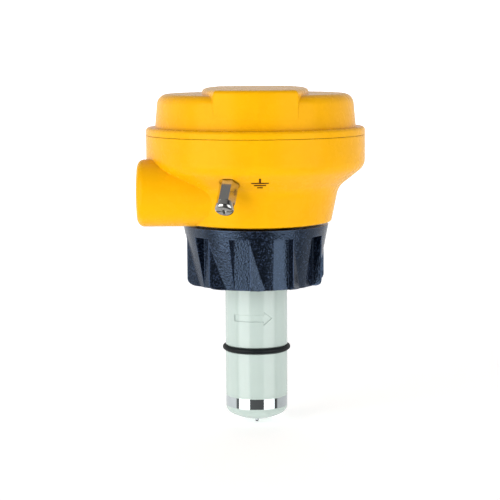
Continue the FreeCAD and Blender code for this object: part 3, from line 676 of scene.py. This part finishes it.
@dataclass
class Housing(Assembly):
    """The bowl with its conduit thread and printed earth symbol."""

    conduit_end: float = -49.6
    conduit_offset: float = -15.5
    conduit_height: float = 23.3
    conduit_radius: float = 9.25
    conduit_length: float = 11.5
    conduit_pitch: float = 1.5
    conduit_ridge: float = 0.45
    slope_low: tuple[float, float] = (35.4, 24.6)
    slope_high: tuple[float, float] = (46.65, 33.6)
    mark_centre: tuple[float, float] = (1.6, 7.2)
    mark_bars: tuple[float, ...] = (7.2, 5.0, 2.3)
    mark_spacing: float = 1.57
    mark_stem: float = 3.4
    mark_line: float = 0.8
    mark_thickness: float = 0.04
    mark_sink: float = 0.02
    mark_steps: int = 12

    def nodes(self) -> dict[str, Slot]:
        """Returns the housing's CAD node."""
        return {"housing": Slot.YELLOW}

    def on_slope(self, surface: BVHTree, across: float, up: float, lift: float) -> Vector:
        """Returns a place on the sloping shoulder.

        Args:
            surface: the housing's faces.
            across: millimetres to the right of the front, along the surface.
            up: millimetres up the slope from its lower corner.
            lift: millimetres off the surface.

        Returns:
            The place, in metres.
        """
        run = self.slope_high[0] - self.slope_low[0]
        rise = self.slope_high[1] - self.slope_low[1]
        length = math.hypot(run, rise)
        radius = self.slope_low[0] + up * run / length
        height = self.slope_low[1] + up * rise / length
        angle = across / radius
        guess = Vector((radius * math.sin(angle), -radius * math.cos(angle), height)) * MM
        place, normal, *_ = surface.find_nearest(guess)
        return place + normal * lift * MM

    def stroke(self, mesh: bmesh.types.BMesh, surface: BVHTree, low: tuple[float, float],
               high: tuple[float, float]) -> None:
        """Adds one printed bar to the symbol.

        Args:
            mesh: the mesh to add it to.
            surface: the housing's faces.
            low: its lower left corner, across and up the slope.
            high: its upper right corner.
        """
        steps = self.mark_steps
        rows = []
        for lift in (-self.mark_sink, self.mark_thickness):
            for up in (low[1], high[1]):
                across = [low[0] + (high[0] - low[0]) * i / steps for i in range(steps + 1)]
                rows.append([mesh.verts.new(self.on_slope(surface, place, up, lift)) for place in across])
        under_low, under_high, over_low, over_high = rows
        ring = (under_low, over_low, over_high, under_high)
        for i in range(steps):
            for first, second in zip(ring, ring[1:] + ring[:1]):
                mesh.faces.new((first[i], first[i + 1], second[i + 1], second[i]))
        mesh.faces.new([row[0] for row in ring])
        mesh.faces.new([row[-1] for row in reversed(ring)])

    def earth_symbol(self) -> bpy.types.Object:
        """Prints the earth symbol on the slope.

        Returns:
            The symbol.
        """
        mesh = bmesh.new()
        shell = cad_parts["housing"].data
        surface = BVHTree.FromPolygons([vertex.co for vertex in shell.vertices],
                                       [polygon.vertices for polygon in shell.polygons])
        middle, top = self.mark_centre
        half = self.mark_line / 2
        for row, width in enumerate(self.mark_bars):
            up = top - row * self.mark_spacing
            self.stroke(mesh, surface, (middle - width / 2, up - half), (middle + width / 2, up + half))
        self.stroke(mesh, surface, (middle - half, top + half), (middle + half, top + self.mark_stem))
        bmesh.ops.recalc_face_normals(mesh, faces=mesh.faces[:])
        data = bpy.data.meshes.new("earth_symbol")
        mesh.to_mesh(data)
        mesh.free()
        data.materials.append(INK.material())
        piece = bpy.data.objects.new("earth_symbol", data)
        bpy.context.scene.collection.objects.link(piece)
        return piece

    def dress(self) -> None:
        """Adds the conduit thread and the earth symbol."""
        turns = self.conduit_length / self.conduit_pitch - 1.0
        thread = self.thread.grow("conduit_thread", {
            "Radius": self.conduit_radius * MM, "Turns": turns, "Pitch": self.conduit_pitch * MM,
            "Ridge": self.conduit_ridge * MM, "Low": self.conduit_pitch * MM / 2,
            "Material": FINISHES[Slot.YELLOW].material()})
        place = Matrix.Translation(Vector((self.conduit_end, self.conduit_offset, self.conduit_height)) * MM)
        thread.data.transform(place @ Matrix.Rotation(math.radians(90.0), 4, "Y"))
        self.add(thread, Body.METER, Slot.YELLOW)
        self.add(self.earth_symbol(), Body.METER, Slot.YELLOW)


@dataclass
class Lid(Assembly):
    """The screw lid with the thread on its skirt."""

    skirt_radius: float = 42.9
    thread_low: float = 41.2
    thread_pitch: float = 3.0
    thread_turns: float = 1.4
    thread_ridge: float = 0.22

    def nodes(self) -> dict[str, Slot]:
        """Returns the lid's CAD nodes."""
        return {"lid": Slot.YELLOW, "lid_seal": Slot.RUBBER}

    def dress(self) -> None:
        """Adds the skirt's thread."""
        thread = self.thread.grow("lid_thread", {
            "Radius": self.skirt_radius * MM, "Turns": self.thread_turns, "Pitch": self.thread_pitch * MM,
            "Ridge": self.thread_ridge * MM, "Low": self.thread_low * MM,
            "Material": FINISHES[Slot.YELLOW].material()})
        self.add(thread, Body.LID, Slot.YELLOW)


@dataclass
class CapNut(Assembly):
    """The union nut with its inside thread."""

    thread_radius: float = 19.5
    thread_low: float = -15.0
    thread_pitch: float = 2.31
    thread_turns: float = 6.0
    thread_ridge: float = 0.6

    def nodes(self) -> dict[str, Slot]:
        """Returns the nut's CAD node."""
        return {"cap_nut": Slot.NUT}

    def dress(self) -> None:
        """Adds the inside thread."""
        thread = self.thread.grow("nut_thread", {
            "Radius": self.thread_radius * MM, "Turns": self.thread_turns, "Pitch": self.thread_pitch * MM,
            "Ridge": self.thread_ridge * MM, "Low": self.thread_low * MM,
            "Material": FINISHES[Slot.NUT].material()})
        self.add(thread, Body.NUT, Slot.NUT)


@dataclass
class Probe(Assembly):
    """The probe with its ring, tip, electrodes and the coil inside."""

    def nodes(self) -> dict[str, Slot]:
        """Lists the probe's CAD nodes.

        Returns:
            The nodes' names with their slots.
        """
        return {"probe_body": Slot.PROBE, "probe_tip": Slot.PROBE, "ground_ring": Slot.STEEL,
                "electrode_front": Slot.STEEL, "electrode_rear": Slot.STEEL, "probe_o_ring": Slot.RUBBER,
                "electrode_seals": Slot.RUBBER, "neck_seal": Slot.RUBBER, "coil_core": Slot.IRON,
                "coil_bobbin": Slot.BOBBIN, "coil_winding": Slot.COPPER, "coil_leads": Slot.LEADS,
                "electrode_leads": Slot.LEADS, "probe_lock_nut": Slot.LOCK_NUT}


@dataclass
class GroundTerminal(Assembly):
    """The earth post with its washer and screw."""

    def nodes(self) -> dict[str, Slot]:
        """Returns the earth terminal's CAD nodes."""
        return {name: Slot.PLATED for name in ("ground_post", "ground_post_nut", "ground_lock_washer",
                                               "ground_screw")}


@dataclass
class Board(Assembly):
    """The circuit board with its parts and the legs of its main chip."""

    top: float = 38.1
    chip_corner: tuple[float, float] = (-2.0, -6.0)
    chip_side: float = 12.0
    leg_count: int = 11
    leg_size: tuple[float, float, float] = (1.2, 0.4, 0.3)

    def nodes(self) -> dict[str, Slot]:
        """Lists the board's CAD nodes.

        Returns:
            The nodes' names with their slots.
        """
        return {"main_board": Slot.BOARD, "terminal_block": Slot.TERMINAL, "terminal_screws": Slot.PLATED,
                "board_screws": Slot.PLATED, "board_chips": Slot.CHIP, "board_capacitors": Slot.CAN,
                "sensor_connector": Slot.BOBBIN}

    def dress(self) -> None:
        """Adds the main chip's legs on both sides."""
        length, width, thickness = self.leg_size
        step = self.chip_side / (self.leg_count + 1)
        low_x, low_y = self.chip_corner
        for side, x in (("left", low_x - length / 2), ("right", low_x + self.chip_side + length / 2)):
            legs = self.legs.grow(f"chip_legs_{side}", {
                "Count": self.leg_count, "Start": Vector((x, low_y + step, self.top + thickness / 2)) * MM,
                "Step": Vector((0.0, step, 0.0)) * MM, "Leg": Vector((length, width, thickness)) * MM,
                "Material": FINISHES[Slot.PLATED].material()})
            self.add(legs, Body.METER, Slot.PLATED)


@dataclass(frozen=True)
class Softbox:
    """One large lamp aimed at the meter, or at another place."""

    name: str
    bearing: float
    elevation: float
    distance: float
    width: float
    height: float
    power: float
    target: tuple[float, float, float] = (0.0, 0.0, 0.0)

    def build(self) -> None:
        """Hangs the lamp."""
        data = bpy.data.lights.new(self.name, "AREA")
        data.shape = "RECTANGLE"
        data.size = self.width
        data.size_y = self.height
        data.energy = self.power
        lamp = bpy.data.objects.new(self.name, data)
        turn = math.radians(self.bearing)
        rise = math.radians(self.elevation)
        away = Vector((math.sin(turn) * math.cos(rise), -math.cos(turn) * math.cos(rise), math.sin(rise)))
        lamp.location = Vector(self.target) + away * self.distance
        lamp.rotation_euler = (-away).to_track_quat("-Z", "Y").to_euler()
        bpy.context.scene.collection.objects.link(lamp)
        log.info("hung %s", self.name)


@dataclass
class Studio:
    """The pale floor, the lamps, the sky and the camera."""

    floor_height: float = -0.0774
    floor_size: float = 60.0
    sweep_start: float = 1.3
    sweep_radius: float = 1.2
    sweep_top: float = 4.0
    sweep_steps: int = 24
    sky_strength: float = 0.84
    sky_lean: float = 0.18
    overhead_dim: float = 0.7
    overhead_full: float = 0.7
    underfoot_dim: float = 0.3
    underfoot_full: float = 0.8
    dark_share: float = 0.15
    dark_from: float = 0.06
    dark_full: float = 0.2
    dark_low: float = 0.75
    dark_high: float = 0.9
    camera_place: tuple[float, float, float] = (-0.0026, -0.72, 0.084)
    camera_target: tuple[float, float, float] = (-0.0026, 0.0, -0.0029)
    camera_lens: float = 121.4
    camera_roll: float = -0.33
    lamps: tuple[Softbox, ...] = (
        Softbox("softbox_left", bearing=-48.0, elevation=6.0, distance=1.1, width=0.9, height=1.4,
                power=11.8),
        Softbox("softbox_right", bearing=48.0, elevation=6.0, distance=1.1, width=0.9, height=1.4,
                power=8.4),
        Softbox("softbox_top", bearing=160.0, elevation=62.0, distance=1.3, width=1.0, height=1.0,
                power=0.8),
        Softbox("softbox_wall", bearing=0.0, elevation=45.0, distance=1.3, width=2.6, height=0.8,
                power=22.0, target=(0.0, 2.3, 0.5)))

    def floor(self) -> None:
        """Lays the floor, which sweeps up into a wall far behind the meter."""
        half = self.floor_size / 2
        low = self.floor_height
        line = [(-half, low)]
        for step in range(self.sweep_steps + 1):
            turn = math.radians(90.0 * step / self.sweep_steps)
            line.append((self.sweep_start + self.sweep_radius * math.sin(turn),
                         low + self.sweep_radius * (1.0 - math.cos(turn))))
        line.append((self.sweep_start + self.sweep_radius, low + self.sweep_top))
        places = [(x, y, z) for y, z in line for x in (-half, half)]
        faces = [(2 * i, 2 * i + 1, 2 * i + 3, 2 * i + 2) for i in range(len(line) - 1)]
        data = bpy.data.meshes.new("floor")
        data.from_pydata(places, [], faces)
        data.polygons.foreach_set("use_smooth", [True] * len(faces))
        data.materials.append(PAPER.material())
        piece = bpy.data.objects.new("floor", data)
        bpy.context.scene.collection.objects.link(piece)
        # Light from the lamps' lower halves passes the floor, and shiny pieces mirror the sky in its place.
        piece.visible_glossy = False
        piece.visible_shadow = False

    def sky(self) -> None:
        """Lights the sky: bright round the horizon, dark in front, dim overhead and underfoot."""
        world = bpy.data.worlds.new("studio")
        world.use_nodes = True
        world.node_tree.nodes.clear()
        tree = Tree(world.node_tree)
        toward = tree.make("ShaderNodeTexCoord", output="Generated")
        axes = [tree.make("ShaderNodeSeparateXYZ", {}, {"Vector": toward}, axis) for axis in "XYZ"]
        side, depth, height = axes
        ahead = tree.step(0.0 - depth, self.dark_from, self.dark_full)
        low = 1.0 - tree.step(height, self.dark_low, self.dark_high)
        shade = 1.0 - ahead * low * (1.0 - self.dark_share)
        overhead = tree.step(height, 0.0, self.overhead_full)
        underfoot = tree.step(0.0 - height, 0.0, self.underfoot_full)
        dim = 1.0 - overhead * self.overhead_dim - underfoot * self.underfoot_dim
        glow = (1.0 - side * self.sky_lean) * dim * self.sky_strength
        sky = tree.make("ShaderNodeBackground", {}, {"Color": (1.0, 1.0, 1.0, 1.0), "Strength": glow * shade})
        tree.make("ShaderNodeOutputWorld", {}, {"Surface": sky})
        bpy.context.scene.world = world

    def camera(self) -> None:
        """Sets up the camera at the photo's angle, with plain colours."""
        data = bpy.data.cameras.new("camera")
        data.lens = self.camera_lens
        camera = bpy.data.objects.new("camera", data)
        place = Vector(self.camera_place)
        aim = (Vector(self.camera_target) - place).to_track_quat("-Z", "Y").to_matrix().to_4x4()
        roll = Matrix.Rotation(math.radians(self.camera_roll), 4, "Z")
        camera.matrix_world = Matrix.Translation(place) @ aim @ roll
        bpy.context.scene.collection.objects.link(camera)
        bpy.context.scene.camera = camera
        bpy.context.scene.view_settings.view_transform = "Standard"

    def build(self) -> None:
        """Builds the studio."""
        self.floor()
        for lamp in self.lamps:
            lamp.build()
        self.sky()
        self.camera()


def main() -> None:
    """Builds the looks and the studio."""
    logging.basicConfig(level=logging.INFO, format="%(name)s: %(message)s")
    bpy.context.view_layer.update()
    thread = thread_growth()
    legs = leg_growth()
    for kind in (Housing, Lid, CapNut, Probe, GroundTerminal, Board):
        assembly = kind(thread, legs)
        assembly.build()
        assembly.dress()
    Studio().build()


if __name__ == "__main__":
    main()
